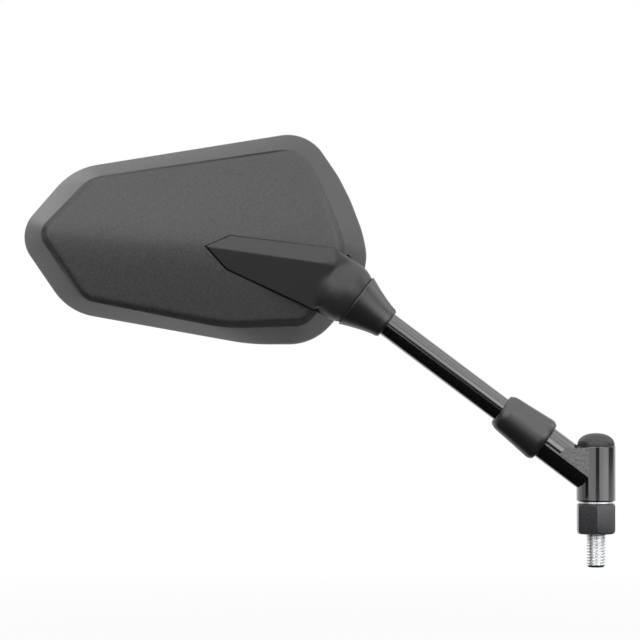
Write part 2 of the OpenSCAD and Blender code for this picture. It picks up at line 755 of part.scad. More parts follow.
mount_bolt();
disc_springs();
lock_washer();
clamp_nut();
elbow();
swivel_bush();
thrust_washer();
barrel_cap();
stem_rod();
stem_lock_nut();
ball_stud();
lower_sleeve();
neck_boot();
ball_seat();
arm_bracket();
pressure_cup();
preload_spring();
preload_plug();
rear_housing();
bracket_screws();
glass_carrier();
foam_pad();
mirror_glass();
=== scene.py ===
import json
import math

import bmesh
import bpy
from mathutils import Matrix, Vector


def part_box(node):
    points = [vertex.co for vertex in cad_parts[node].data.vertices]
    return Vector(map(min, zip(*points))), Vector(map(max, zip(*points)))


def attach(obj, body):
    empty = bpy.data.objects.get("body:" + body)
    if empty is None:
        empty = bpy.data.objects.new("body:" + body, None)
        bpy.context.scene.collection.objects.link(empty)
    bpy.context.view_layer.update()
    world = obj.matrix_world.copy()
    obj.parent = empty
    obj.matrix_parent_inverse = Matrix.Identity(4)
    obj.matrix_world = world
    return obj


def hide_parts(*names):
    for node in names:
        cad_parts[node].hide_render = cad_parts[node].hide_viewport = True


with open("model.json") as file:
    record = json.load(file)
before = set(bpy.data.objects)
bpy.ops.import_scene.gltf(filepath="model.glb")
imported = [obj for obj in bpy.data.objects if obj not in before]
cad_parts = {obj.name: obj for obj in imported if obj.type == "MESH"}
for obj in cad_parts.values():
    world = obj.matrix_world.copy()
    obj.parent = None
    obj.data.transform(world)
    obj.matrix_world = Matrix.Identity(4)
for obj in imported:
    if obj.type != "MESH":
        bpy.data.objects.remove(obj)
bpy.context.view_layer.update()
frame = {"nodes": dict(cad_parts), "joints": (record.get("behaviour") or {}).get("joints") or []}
mm = 0.001
joints = {joint["name"]: joint for joint in frame["joints"]}
ball = Vector(joints["head_turn"]["pos_m"])  # centre of the ball joint
armWay = Vector(joints["head_turn"]["axis"])  # from the elbow towards the head
armFoot = Vector(joints["arm_swivel"]["pos_m"])  # where the arm's axis meets the barrel's
print("frame loaded:", len(frame["nodes"]), "nodes")


# Sizes of the CAD solids in millimetres, so that each new piece keeps its place

def nodePoints(node):
    return [vertex.co.copy() for vertex in frame["nodes"][node].data.vertices]


def alongArm(node):
    steps = [(point - armFoot).dot(armWay) for point in nodePoints(node)]
    return min(steps) / mm, max(steps) / mm


def armRadius(node):
    offsets = [point - armFoot for point in nodePoints(node)]
    return max((offset - armWay * offset.dot(armWay)).length for offset in offsets) / mm


# Modelling helpers

def selectOnly(piece):
    if bpy.context.object and bpy.context.object.mode == "EDIT":
        bpy.ops.object.mode_set(mode="OBJECT")
    bpy.ops.object.select_all(action="DESELECT")
    piece.select_set(True)
    bpy.context.view_layer.objects.active = piece


def applyPlace(piece):
    selectOnly(piece)
    bpy.ops.object.transform_apply(location=True, rotation=True, scale=True)


def addModifier(piece, kind, settings):
    selectOnly(piece)
    modifier = piece.modifiers.new(kind.lower(), kind)
    for key, value in settings.items():
        setattr(modifier, key, value)
    bpy.ops.object.modifier_apply(modifier=modifier.name)


def combine(piece, other, operation):
    addModifier(piece, "BOOLEAN", {"operation": operation, "solver": "EXACT", "object": other})
    bpy.data.objects.remove(other, do_unlink=True)


def joinPieces(pieces):
    selectOnly(pieces[0])
    for piece in pieces:
        piece.select_set(True)
    bpy.ops.object.join()
    return bpy.context.object


# Roundings: the share of an edge that an arc may take, and where the ring that holds the shading lies
arcRoom = 0.4
holdReach = 1.3
holdRoom = 0.48


def towards(here, way, reach, room):
    # A step from here along the way, at most that share of the way's length
    return here + way.normalized() * min(reach, way.length * room)


def curvePoint(start, here, end, share):
    return start * (1 - share) ** 2 + here * 2 * share * (1 - share) + end * share ** 2


def softened(profile, steps=4):
    # Rounds each corner that has a third value, its rounding; a close ring on each side holds the shading
    points = []
    for i, corner in enumerate(profile):
        here = Vector(corner[:2])
        if len(corner) < 3 or i in (0, len(profile) - 1):
            points.append(here)
            continue
        before = Vector(profile[i - 1][:2]) - here
        after = Vector(profile[i + 1][:2]) - here
        start = towards(here, before, corner[2], arcRoom)
        end = towards(here, after, corner[2], arcRoom)
        points.append(towards(here, before, corner[2] * holdReach, holdRoom))
        points += [curvePoint(start, here, end, k / steps) for k in range(steps + 1)]
        points.append(towards(here, after, corner[2] * holdReach, holdRoom))
    return points


def extrudeUp(rise):
    bpy.ops.mesh.extrude_region_move(TRANSFORM_OT_translate={"value": (0, 0, rise * mm)})


def selectOpenEdges():
    bpy.ops.mesh.select_all(action="DESELECT")
    bpy.ops.mesh.select_mode(type="EDGE")
    bpy.ops.mesh.select_non_manifold()


def closeEdit():
    # Turns every normal outwards and leaves edit mode
    bpy.ops.mesh.select_all(action="SELECT")
    bpy.ops.mesh.normals_make_consistent(inside=False)
    bpy.ops.object.mode_set(mode="OBJECT")


def turned(profile, segments=96, closed=False):
    # A lathe piece on the Z axis: one circle, extruded and scaled from ring to ring, in millimetres
    points = softened(profile)
    rings = [point for point in points if point.x > 1e-6]
    bpy.ops.mesh.primitive_circle_add(
        vertices=segments, radius=rings[0].x * mm, location=(0, 0, rings[0].y * mm))
    piece = bpy.context.object
    applyPlace(piece)
    bpy.ops.object.mode_set(mode="EDIT")
    bpy.ops.mesh.select_mode(type="VERT")
    bpy.ops.mesh.select_all(action="SELECT")
    last = rings[0]
    for ring in rings[1:]:
        extrudeUp(ring.y - last.y)
        grow = ring.x / last.x
        bpy.ops.transform.resize(value=(grow, grow, 1), center_override=(0, 0, ring.y * mm))
        last = ring
    if closed:
        selectOpenEdges()
        bpy.ops.mesh.bridge_edge_loops()
    else:
        extrudeUp(points[-1].y - last.y)
        bpy.ops.mesh.merge(type="CENTER")
        selectOpenEdges()
        extrudeUp(points[0].y - rings[0].y)
        bpy.ops.mesh.merge(type="CENTER")
    bpy.ops.mesh.select_mode(type="VERT")
    bpy.ops.mesh.select_all(action="SELECT")
    bpy.ops.mesh.remove_doubles(threshold=1e-7)
    closeEdit()
    return piece


def bar(radius, low, high, segments=96):
    return turned([(0, low), (radius, low), (radius, high), (0, high)], segments)


def onArm(piece):
    # Lays a piece made on the Z axis along the arm
    turn = Vector((0, 0, 1)).rotation_difference(armWay)
    piece.matrix_world = Matrix.Translation(armFoot) @ turn.to_matrix().to_4x4()
    applyPlace(piece)
    return piece


def hexBar(acrossFlats, low, high):
    # A hexagon bar on the Z axis
    bpy.ops.mesh.primitive_cylinder_add(
        vertices=6, radius=acrossFlats / 2 / math.cos(math.pi / 6) * mm, depth=(high - low) * mm,
        location=(0, 0, (low + high) / 2 * mm))
    piece = bpy.context.object
    applyPlace(piece)
    return piece


def finishPiece(piece, name, body, node, material, smoothAngle=32):
    selectOnly(piece)
    bpy.ops.object.shade_smooth_by_angle(angle=math.radians(smoothAngle))
    piece.name = name
    piece.data.name = name
    piece.data.materials.clear()
    piece.data.materials.append(materials[material])
    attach(piece, body)
    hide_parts(node)


# Material helpers

def linearColour(code):
    parts = [int(code[i:i + 2], 16) / 255 for i in (1, 3, 5)]
    return [part / 12.92 if part <= 0.04045 else ((part + 0.055) / 1.055) ** 2.4 for part in parts] + [1]


def addNode(tree, kind, settings=None, links=None):
    node = tree.nodes.new(kind)
    for key, value in (settings or {}).items():
        if key in node.inputs:
            node.inputs[key].default_value = value
        else:
            setattr(node, key, value)
    for socket, source in (links or {}).items():
        tree.links.new(source, node.inputs[socket])
    return node


def newMaterial(name):
    material = bpy.data.materials.new(name)
    material.use_nodes = True
    tree = material.node_tree
    tree.nodes.clear()
    output = addNode(tree, "ShaderNodeOutputMaterial")
    place = addNode(tree, "ShaderNodeTexCoord").outputs["Object"]
    return material, tree, output, place


toneRange = (0.32, 0.68)  # the grain's values at which its dark and its light tone are full


def grained(name, look):
    # A surface with a fine grain: two tones, an uneven gloss and a bump, at real sizes in millimetres
    material, tree, output, place = newMaterial(name)
    grain = addNode(tree, "ShaderNodeTexNoise", {
        "Scale": 1 / (look["grain"] * mm), "Detail": 3, "Roughness": 0.6}, {"Vector": place})
    patches = addNode(tree, "ShaderNodeTexNoise", {
        "Scale": 1 / (look["patch"] * mm), "Detail": 2}, {"Vector": place})
    tone = addNode(tree, "ShaderNodeValToRGB", {}, {"Fac": grain.outputs["Fac"]})
    for k, code in enumerate((look["dark"], look["light"])):
        tone.color_ramp.elements[k].position = toneRange[k]
        tone.color_ramp.elements[k].color = linearColour(code)
    gloss = addNode(tree, "ShaderNodeMapRange", {
        "To Min": look["rough"] - look["spread"], "To Max": look["rough"] + look["spread"]}, {
        "Value": patches.outputs["Fac"]})
    bump = addNode(tree, "ShaderNodeBump", {
        "Strength": look["bump"], "Distance": look["relief"] * mm}, {"Height": grain.outputs["Fac"]})
    shader = addNode(tree, "ShaderNodeBsdfPrincipled", {
        "IOR": look.get("ior", 1.5), "Metallic": look.get("metallic", 0),
        "Specular IOR Level": look.get("sheen", 0.5), **look.get("more", {})}, {
        "Base Color": tone.outputs["Color"], "Roughness": gloss.outputs["Result"],
        "Normal": bump.outputs["Normal"]})
    tree.links.new(shader.outputs["BSDF"], output.inputs["Surface"])
    return material


print("helpers ready")


# Materials

paint = {
    "dark": "#080808", "light": "#0a0a0b", "grain": 2.4, "patch": 12, "rough": 0.16, "spread": 0.03,
    "bump": 0.15, "relief": 0.01, "ior": 1.6, "more": {"Coat Weight": 1, "Coat Roughness": 0.08}}
looks = {
    # Glass-filled nylon from an etched tool: near black, with a sand-like grain that breaks up its sheen
    "grainedPlastic": {
        "dark": "#171717", "light": "#2a2a2a", "grain": 0.95, "patch": 26, "rough": 0.44, "spread": 0.03,
        "bump": 0.6, "relief": 0.1, "sheen": 0.62},
    # The same nylon from a finer tool, a shade deeper than the shell
    "bracketPlastic": {
        "dark": "#19191a", "light": "#222223", "grain": 0.62, "patch": 18, "rough": 0.42, "spread": 0.03,
        "bump": 0.45, "relief": 0.07, "sheen": 0.48},
    # Moulded rubber: a soft even sheen with a very fine bloom
    "bootRubber": {
        "dark": "#111112", "light": "#19191a", "grain": 0.5, "patch": 9, "rough": 0.38, "spread": 0.04,
        "bump": 0.18, "relief": 0.03, "sheen": 0.8},
    # Spark-eroded black moulding, a little greyer than rubber
    "capPlastic": {
        "dark": "#161617", "light": "#202021", "grain": 0.45, "patch": 6, "rough": 0.45, "spread": 0.04,
        "bump": 0.3, "relief": 0.05, "sheen": 0.5},
    # Black powder coat with a clear top over steel: deep and wet-looking, with a faint orange peel
    "glossPaint": paint,
    # The same coat over the casting, less even
    "castPaint": {**paint, "bump": 0.3},
    # The casting's flat faces: a lighter grey than the black paint, painted sheen for the light they reflect;
    # mottled and half dull
    "paintedSheenFace": {
        "dark": "#3a3a3b", "light": "#6a6a6b", "grain": 1.3, "patch": 3, "rough": 0.42, "spread": 0.08,
        "bump": 0.5, "relief": 0.05},
    # Blackened steel: a dark, slightly metallic tone with machining marks under a film of oil
    "blackOxide": {
        "dark": "#3a3a3c", "light": "#4c4c4f", "grain": 0.5, "patch": 5, "rough": 0.25, "spread": 0.04,
        "bump": 0.2, "relief": 0.02, "metallic": 0.6, "sheen": 1},
    # Bright zinc plate on steel, slightly cloudy
    "zincPlate": {
        "dark": "#e4e6e8", "light": "#f6f7f8", "grain": 2.2, "patch": 4, "rough": 0.36, "spread": 0.04,
        "bump": 0.05, "relief": 0.01, "metallic": 1},
    # Plain spring steel with its drawn, lightly oiled skin
    "springSteel": {
        "dark": "#5d6063", "light": "#7c8083", "grain": 0.4, "patch": 3, "rough": 0.34, "spread": 0.08,
        "bump": 0.2, "relief": 0.02, "metallic": 1},
    # Uncoloured nylon: warm white and waxy, with light just entering the surface
    "naturalNylon": {
        "dark": "#d5cfc0", "light": "#e2ddd0", "grain": 0.9, "patch": 5, "rough": 0.42, "spread": 0.05,
        "bump": 0.12, "relief": 0.02, "ior": 1.53,
        "more": {"Subsurface Weight": 0.15, "Subsurface Radius": (0.0012, 0.001, 0.0008),
                 "Subsurface Scale": 1}},
    # Plain black moulding behind the glass, smooth from the tool
    "carrierPlastic": {
        "dark": "#141415", "light": "#1b1b1c", "grain": 1.2, "patch": 14, "rough": 0.4, "spread": 0.05,
        "bump": 0.12, "relief": 0.03},
    # Closed-cell foam: dull dark grey with small cells
    "adhesiveFoam": {
        "dark": "#2b2b2d", "light": "#48484b", "grain": 0.6, "patch": 10, "rough": 0.85, "spread": 0.05,
        "bump": 0.7, "relief": 0.15},
}


def silveredGlass():
    # Silvered mirror glass: a clean reflection with a faint cool tint and barely uneven silver
    material, tree, output, place = newMaterial("silveredGlass")
    cloud = addNode(tree, "ShaderNodeTexNoise", {"Scale": 1 / (30 * mm), "Detail": 2}, {"Vector": place})
    tone = addNode(tree, "ShaderNodeMix", {"data_type": "RGBA"}, {"Factor": cloud.outputs["Fac"]})
    tone.inputs["A"].default_value = linearColour("#d7dde0")
    tone.inputs["B"].default_value = linearColour("#dde3e6")
    gloss = addNode(tree, "ShaderNodeMapRange", {"To Min": 0.01, "To Max": 0.03}, {
        "Value": cloud.outputs["Fac"]})
    shader = addNode(tree, "ShaderNodeBsdfPrincipled", {"Metallic": 1},
                     {"Base Color": tone.outputs["Result"], "Roughness": gloss.outputs["Result"]})
    tree.links.new(shader.outputs["BSDF"], output.inputs["Surface"])
    return material


materials = {name: grained(name, look) for name, look in looks.items()}
materials["silveredGlass"] = silveredGlass()
print("materials made")


# The head's outlines, anticlockwise from the left tip

headShape = {
    "width": 179.8, "height": 109.6,
    "besideBall": 12.93,  # how far the right edge stands beyond the ball's centre
    "belowBall": 0.2557,  # share of the height that hangs below the ball's centre
    # corner: share of width, share of height, rounding radius, then arc steps and edge steps in the mesh
    "corners": [
        (1.0264, 0.526, 17.8, 14, 10), (0.8722, 0.156, 31, 12, 18), (0.3421, 0.000, 110, 8, 6),
        (0.1564, 0.000, 29, 12, 3), (0.0900, 0.124, 36, 5, 3), (0.0113, 0.323, 24, 6, 3),
        (0.0000, 0.423, 24, 6, 3), (0.0135, 0.538, 60, 5, 3), (0.0490, 0.691, 60, 5, 3),
        (0.0844, 0.806, 60, 5, 3), (0.1745, 1.022, 22, 14, 22), (0.8587, 0.842, 35, 14, 8)],
    # the raised back's corners, in the same order
    "backCorners": [
        (0.9428, 0.532, 7), (0.8163, 0.211, 12), (0.4107, 0.078, 90), (0.1810, 0.089, 12),
        (0.1322, 0.174, 20), (0.0824, 0.356, 20), (0.0663, 0.457, 17), (0.0746, 0.528, 22),
        (0.1006, 0.631, 40), (0.1378, 0.766, 40), (0.2027, 0.924, 14), (0.7919, 0.782, 16)],
    "rimDepth": 23.5, "sideHeight": 5, "lip": 2.7, "wall": 2.4,
    "backRise": 9.2, "stepTop": 0.8, "stepLow": 3.4, "stepLeft": 1.2, "stepGrow": 0.75,
    "crest": 0.88, "proud": 3.0,  # how far the band stands above the groove along the upper edge
    "rightFade": 30, "rightSoft": 3,  # the groove fades over this width to the right, into a soft fold
    "wallSlant": 0.9, "wallFoot": 0.35,  # width of the step's wall, as a share of its height and a fixed part
    "ridgeHeight": 0.470, "ridgePlace": 0.4586, "ridgeDrop": -0.085, "ridgeSoft": 7,
    "ridgeLeft": 0.86, "ridgeRight": 0.2,  # the ridge's ends, as shares of the width from the right edge
    "slopeUp": 0.145, "slopeLow": 0.165,
    "endFall": 3.4, "endShift": 5, "endReach": 0.47,  # the back falls away towards both its ends
    "upperGrow": 1.5, "upperStart": 0.25, "rightStart": 1.6,  # where the shares below begin to grow
    "roundings": {"lip": 0.3, "rim": 0.7, "side": 2.4, "band": 0.9, "groove": 0.5, "wall": 1.5},
    "lipBehind": 0.6,  # how far the lip's inner edge lies behind the glass's face
    "ledgeBack": 2, "ledgeIn": 2.2,  # the ledge behind the foam, and how far it stands in from the lip
    "throatIn": 3, "throatBack": 2.5,
    "pocketIn": 0.8, "pocketPast": 0.15,
    "backInset": 5,  # inset of the rings on the raised back
    "innerShares": (0.93, 0.75, 0.5, 0.25, 0),
    "outerShares": (0.06, 0.14, 0.24, 0.35, 0.46, 0.57, 0.68, 0.78, 0.87, 0.94, 0.98),
    "post": 4.2, "postSink": 1,  # radius of the screws' posts, and how deep they start in the wall
    "wayBack": 20, "wayGap": 0.4, "wayPast": 4,  # room for the neck
    "openingFront": -25, "openingBack": 9,
}
edgeX = ball.x / mm + headShape["besideBall"]
lowZ = ball.z / mm - headShape["belowBall"] * headShape["height"]
ridgeX = edgeX - headShape["ridgePlace"] * headShape["width"]


def leftOf(way):
    return Vector((-way.y, way.x))


def insetCorner(flat, i, inset):
    here = flat[i]
    a = leftOf((here - flat[i - 1]).normalized())
    b = leftOf((flat[(i + 1) % len(flat)] - here).normalized())
    return here + (a + b) * inset / (1 + a.dot(b))


def outline(table, inset):
    # Rounded outline in x and z, in millimetres, moved inwards by the inset, from the first arc's middle
    width, height = headShape["width"], headShape["height"]
    flat = [Vector((edgeX - corner[0] * width, lowZ + corner[1] * height)) for corner in table]
    arcs = []
    for i, corner in enumerate(table):
        steps = headShape["corners"][i][3]
        radius = max(corner[2] - inset, 1)
        centre = insetCorner(flat, i, inset + radius)
        a = -leftOf((flat[i] - flat[i - 1]).normalized())
        b = -leftOf((flat[(i + 1) % len(flat)] - flat[i]).normalized())
        start = math.atan2(a.y, a.x)
        turn = (math.atan2(b.y, b.x) - start) % (2 * math.pi)
        angles = [start + turn * k / steps for k in range(steps + 1)]
        arcs.append([centre + radius * Vector((math.cos(angle), math.sin(angle))) for angle in angles])
    points = []
    for i, arc in enumerate(arcs):
        follow = arcs[(i + 1) % len(arcs)][0]
        cuts = headShape["corners"][i][4]
        points += arc
        points += [arc[-1].lerp(follow, k / cuts) for k in range(1, cuts)]
    first = headShape["corners"][0][3] // 2
    return points[first:] + points[:first]


def headOutline(inset):
    return outline(headShape["corners"], inset)


def backOutline(inset):
    return outline(headShape["backCorners"], inset)


def ridgeZ(x):
    return lowZ + headShape["ridgeHeight"] * headShape["height"] + headShape["ridgeDrop"] * (x - ridgeX)


def backY(p):
    up = p.y - ridgeZ(p.x)
    soft = headShape["ridgeSoft"]
    slope = headShape["slopeUp"] if up > 0 else headShape["slopeLow"]
    along = (p.x - ridgeX + headShape["endShift"]) / (headShape["endReach"] * headShape["width"])
    rise = slope * (math.hypot(up, soft) - soft)
    return -headShape["backRise"] + rise + headShape["endFall"] * along * along


def upperShare(p):
    # 0 along the lower edge of the head and 1 along its upper edge
    up = (p.y - lowZ) / headShape["height"]
    return min(max(up * headShape["upperGrow"] - headShape["upperStart"], 0), 1)


def rightShare(p):
    # Grows to 1 at the right end of the head
    return min(max((p.x - edgeX) / headShape["rightFade"] + headShape["rightStart"], 0), 1)


def stepHeight(p):
    share = upperShare(p)
    grow = min(max((p.x - edgeX) / headShape["width"] + 1, 0) / headShape["stepGrow"], 1)
    low = headShape["stepLeft"] * (1 - grow) + headShape["stepLow"] * grow
    return low * (1 - share) + headShape["stepTop"] * (1 - rightShare(p)) * share


def levelRing(inset, y):
    return [Vector((p.x, y, p.y)) for p in headOutline(inset)]


def stepRing(inset, sink):
    # At the foot of the step's wall, at the depth of the groove
    return [Vector((p.x, backY(p) + stepHeight(p) + sink, p.y)) for p in backOutline(inset)]


def bandRing(share):
    # On the straight band between the side and the groove; along the upper edge it stands a little proud
    base = headShape["rimDepth"] - headShape["sideHeight"]
    ring = []
    for outer, inner in zip(headOutline(0), backOutline(0)):
        p = outer.lerp(inner, share)
        depth = base * (1 - share) + (backY(inner) + stepHeight(inner)) * share
        proud = headShape["proud"] * upperShare(inner) * (1 - rightShare(inner))
        ring.append(Vector((p.x, depth - proud, p.y)))
    return ring


def wallRing():
    # The top of the step's slanted wall, wider where the step is higher
    widest = headShape["wallSlant"] * headShape["stepLow"] + headShape["wallFoot"] + headShape["rightSoft"]
    ring = []
    for outer, inner in zip(backOutline(0), backOutline(widest)):
        width = headShape["wallSlant"] * stepHeight(outer) + headShape["wallFoot"]
        width += headShape["rightSoft"] * rightShare(outer) * upperShare(outer)
        p = outer.lerp(inner, width / widest)
        ring.append(Vector((p.x, backY(p), p.y)))
    return ring


def backRing(share, sink):
    # On the raised back, drawn in towards its ridge by the share
    ring = []
    leftEnd = edgeX - headShape["ridgeLeft"] * headShape["width"]
    rightEnd = edgeX - headShape["ridgeRight"] * headShape["width"]
    for p in backOutline(headShape["backInset"]):
        x = min(max(p.x, leftEnd), rightEnd)
        q = p.lerp(Vector((x, ridgeZ(x))), share)
        ring.append(Vector((q.x, backY(q) + sink, q.y)))
    return ring


def softenedRings(controls, steps=4):
    # controls: (ring, rounding). Each inner ring with a rounding becomes a small arc from ring to ring
    rings = []
    for k, (ring, rounding) in enumerate(controls):
        if not rounding or k in (0, len(controls) - 1):
            rings.append(ring)
            continue
        for t in range(steps + 1):
            share = t / steps
            soft = []
            for i, here in enumerate(ring):
                before = controls[k - 1][0][i] - here
                after = controls[k + 1][0][i] - here
                start = towards(here, before, rounding, holdRoom)
                end = towards(here, after, rounding, holdRoom)
                soft.append(curvePoint(start, here, end, share))
            rings.append(soft)
    return rings


def loftedShell(rings):
    # One circle, extruded from ring to ring, each new ring moved to its outline; both ends are filled
    bpy.ops.mesh.primitive_circle_add(vertices=len(rings[0]), radius=0.1)
    piece = bpy.context.object
    for vertex, place in zip(piece.data.vertices, rings[0]):
        vertex.co = place * mm
    applyPlace(piece)
    bpy.ops.object.mode_set(mode="EDIT")
    bpy.ops.mesh.select_all(action="SELECT")
    bpy.ops.mesh.select_mode(type="EDGE")
    for ring in rings[1:]:
        bpy.ops.mesh.extrude_region_move()
        mesh = bmesh.from_edit_mesh(piece.data)
        mesh.verts.ensure_lookup_table()
        for vertex, place in zip(mesh.verts[-len(ring):], ring):
            vertex.co = place * mm
        bmesh.update_edit_mesh(piece.data)
    bpy.ops.mesh.fill()
    bpy.ops.mesh.select_all(action="DESELECT")
    bpy.ops.mesh.select_non_manifold()
    bpy.ops.mesh.fill()
    closeEdit()
    return piece


def prism(points, low, high):
    # A flat outline in x and z, in millimetres, drawn out along Y
    bpy.ops.mesh.primitive_circle_add(vertices=len(points), radius=0.1, fill_type="NGON")
    piece = bpy.context.object
    for vertex, place in zip(piece.data.vertices, points):
        vertex.co = Vector((place[0], low, place[1])) * mm
    applyPlace(piece)
    bpy.ops.object.mode_set(mode="EDIT")
    bpy.ops.mesh.select_all(action="SELECT")
    bpy.ops.mesh.extrude_region_move(TRANSFORM_OT_translate={"value": (0, (high - low) * mm, 0)})
    closeEdit()
    return piece


# The bracket: an arrow-shaped cover with two facets on a ridge, which runs into a round neck

bracketShape = {
    # outline from the ball's centre in x and z, anticlockwise from the tip
    "outline": [
        (-70.75, 22.95), (-59.95, 11.05), (-14.85, -9.95), (4.85, 16.4), (-4.45, 21.85), (-58.15, 28.45)],
    "ridgeEnd": (-5.15, 13.35), "ridgeRise": 16.4, "tipRise": 9.6,
    "slopeUp": 0.265, "slopeLow": -0.25, "neckEdge": -8,
    "back": 4, "shutline": 0.4, "shutDrop": 0.2,
    "rim": 14.3, "full": 16.3, "rimAt": 156.3, "neckEnd": 169.2,
    "bore": 10.05, "tube": 14.9, "tubeEnd": 186.4,
    "ears": [(-78.5, 21.5), (-34, 33.5), (-41.5, -5.5)], "earWays": [(15, 0), (0, -11), (0, 11)],
    "earRadius": 5, "earThickness": 3, "tongue": 7,
    "voxel": 0.42, "smooth": 5,
    "blend": (163, 181), "blendSmooth": 220,  # where the facets melt into the neck, and how much
    "blendFade": 3, "blendEdge": 1, "blendFront": -2,
    "blockFront": -30,  # the cover is cut down to its facets from here
    "rimArc": 40, "swellLength": 8, "neckRound": 3, "taperIn": 6, "taperLength": 12,
    "keepHalf": 60, "keepMargin": 3,  # the part of the tube that stays, around the ball
    "socketIn": 0.25, "borePast": 12, "screw": 2.05, "drillPast": 2,
    # room for the rod's end, before the ball's centre along the arm
    "roomFrom": 17, "roomRadius": 11.8, "roomTo": 5.2, "roomNarrow": 8.2,
}
ballX, ballZ = ball.x / mm, ball.z / mm
armReach = (ball - armFoot).length / mm


def bracketOutline(inset):
    flat = [Vector((ballX + x, ballZ + z)) for x, z in bracketShape["outline"]]
    return [insetCorner(flat, i, inset) for i in range(len(flat))]


def edgeDistance(p):
    # How far a place lies inside the cover's edges, apart from those at the neck
    flat = bracketOutline(0)
    return min(leftOf((flat[j] - flat[i]).normalized()).dot(p - flat[i]) for i, j in ((0, 1), (1, 2), (4, 5)))


def facetY(p, slope):
    # Depth of a facet that holds the ridge and leans by its own slope across it
    tip = bracketOutline(0)[0]
    runX = ballX + bracketShape["ridgeEnd"][0] - tip.x
    runZ = ballZ + bracketShape["ridgeEnd"][1] - tip.y
    lean = (bracketShape["tipRise"] - bracketShape["ridgeRise"] - slope * runZ) / runX
    return -bracketShape["tipRise"] + lean * (p.x - tip.x) + slope * (p.y - tip.y)


def coverBlock():
    # A prism whose front face is poked at the ridge's end, so that its facets meet on the ridge
    flat = bracketOutline(0)
    cutLevel = (bracketShape["blockFront"] + 1) * mm
    piece = prism(flat, bracketShape["blockFront"], bracketShape["back"])
    up, low = bracketShape["slopeUp"], bracketShape["slopeLow"]
    depths = [facetY(flat[0], up), facetY(flat[1], low), facetY(flat[2], low), bracketShape["neckEdge"],
              facetY(flat[4], up), facetY(flat[5], up)]
    selectOnly(piece)
    bpy.ops.object.mode_set(mode="EDIT")
    bpy.ops.mesh.select_mode(type="FACE")
    bpy.ops.mesh.select_all(action="DESELECT")
    mesh = bmesh.from_edit_mesh(piece.data)
    front = [face for face in mesh.faces if all(vert.co.y < cutLevel for vert in face.verts)][0]
    front.select_set(True)
    bmesh.update_edit_mesh(piece.data)
    bpy.ops.mesh.poke()
    mesh = bmesh.from_edit_mesh(piece.data)
    ridgeEnd = Vector((ballX + bracketShape["ridgeEnd"][0], ballZ + bracketShape["ridgeEnd"][1]))
    for vert in mesh.verts:
        if vert.co.y > cutLevel:
            continue
        near = min(range(6), key=lambda i: (Vector((vert.co.x, vert.co.z)) - flat[i] * mm).length)
        if (Vector((vert.co.x, vert.co.z)) - flat[near] * mm).length < 0.1 * mm:
            vert.co.y = depths[near] * mm
        else:
            vert.co = Vector((ridgeEnd.x, facetY(ridgeEnd, up), ridgeEnd.y)) * mm
    bmesh.update_edit_mesh(piece.data)
    bpy.ops.object.mode_set(mode="OBJECT")
    return piece


def neckBlock():
    shape = bracketShape
    reach = armReach - shape["rimAt"]
    ballEnd = math.hypot(shape["rim"], reach)
    widest = math.acos(reach / ballEnd)
    start = math.radians(shape["rimArc"])
    arc = [start + (widest - start) * k / 10 for k in range(11)]
    profile = [(0, armReach - ballEnd * math.cos(arc[0]))]
    profile += [(ballEnd * math.sin(a), armReach - ballEnd * math.cos(a)) for a in arc]
    swell = shape["full"] - shape["rim"]
    steps = 8
    for k in range(1, steps + 1):
        grow = 1 - (1 - k / steps) ** 2
        profile.append((shape["rim"] + swell * grow, shape["rimAt"] + shape["swellLength"] * k / steps))
    end = shape["neckEnd"] + shape["taperLength"]
    full = shape["full"]
    profile += [(full, shape["neckEnd"], shape["neckRound"]), (full - shape["taperIn"], end), (0, end)]
    return onArm(turned(profile, 128))


def boxAt(low, high):
    bpy.ops.mesh.primitive_cube_add(size=1)
    piece = bpy.context.object
    low, high = Vector(low) * mm, Vector(high) * mm
    piece.location = (low + high) / 2
    piece.scale = high - low
    applyPlace(piece)
    return piece


def barAlongY(place, radius, low, high, segments=48):
    bpy.ops.mesh.primitive_cylinder_add(
        vertices=segments, radius=radius * mm, depth=(high - low) * mm, rotation=(math.radians(90), 0, 0),
        location=(place[0] * mm, (low + high) / 2 * mm, place[1] * mm))
    piece = bpy.context.object
    applyPlace(piece)
    return piece


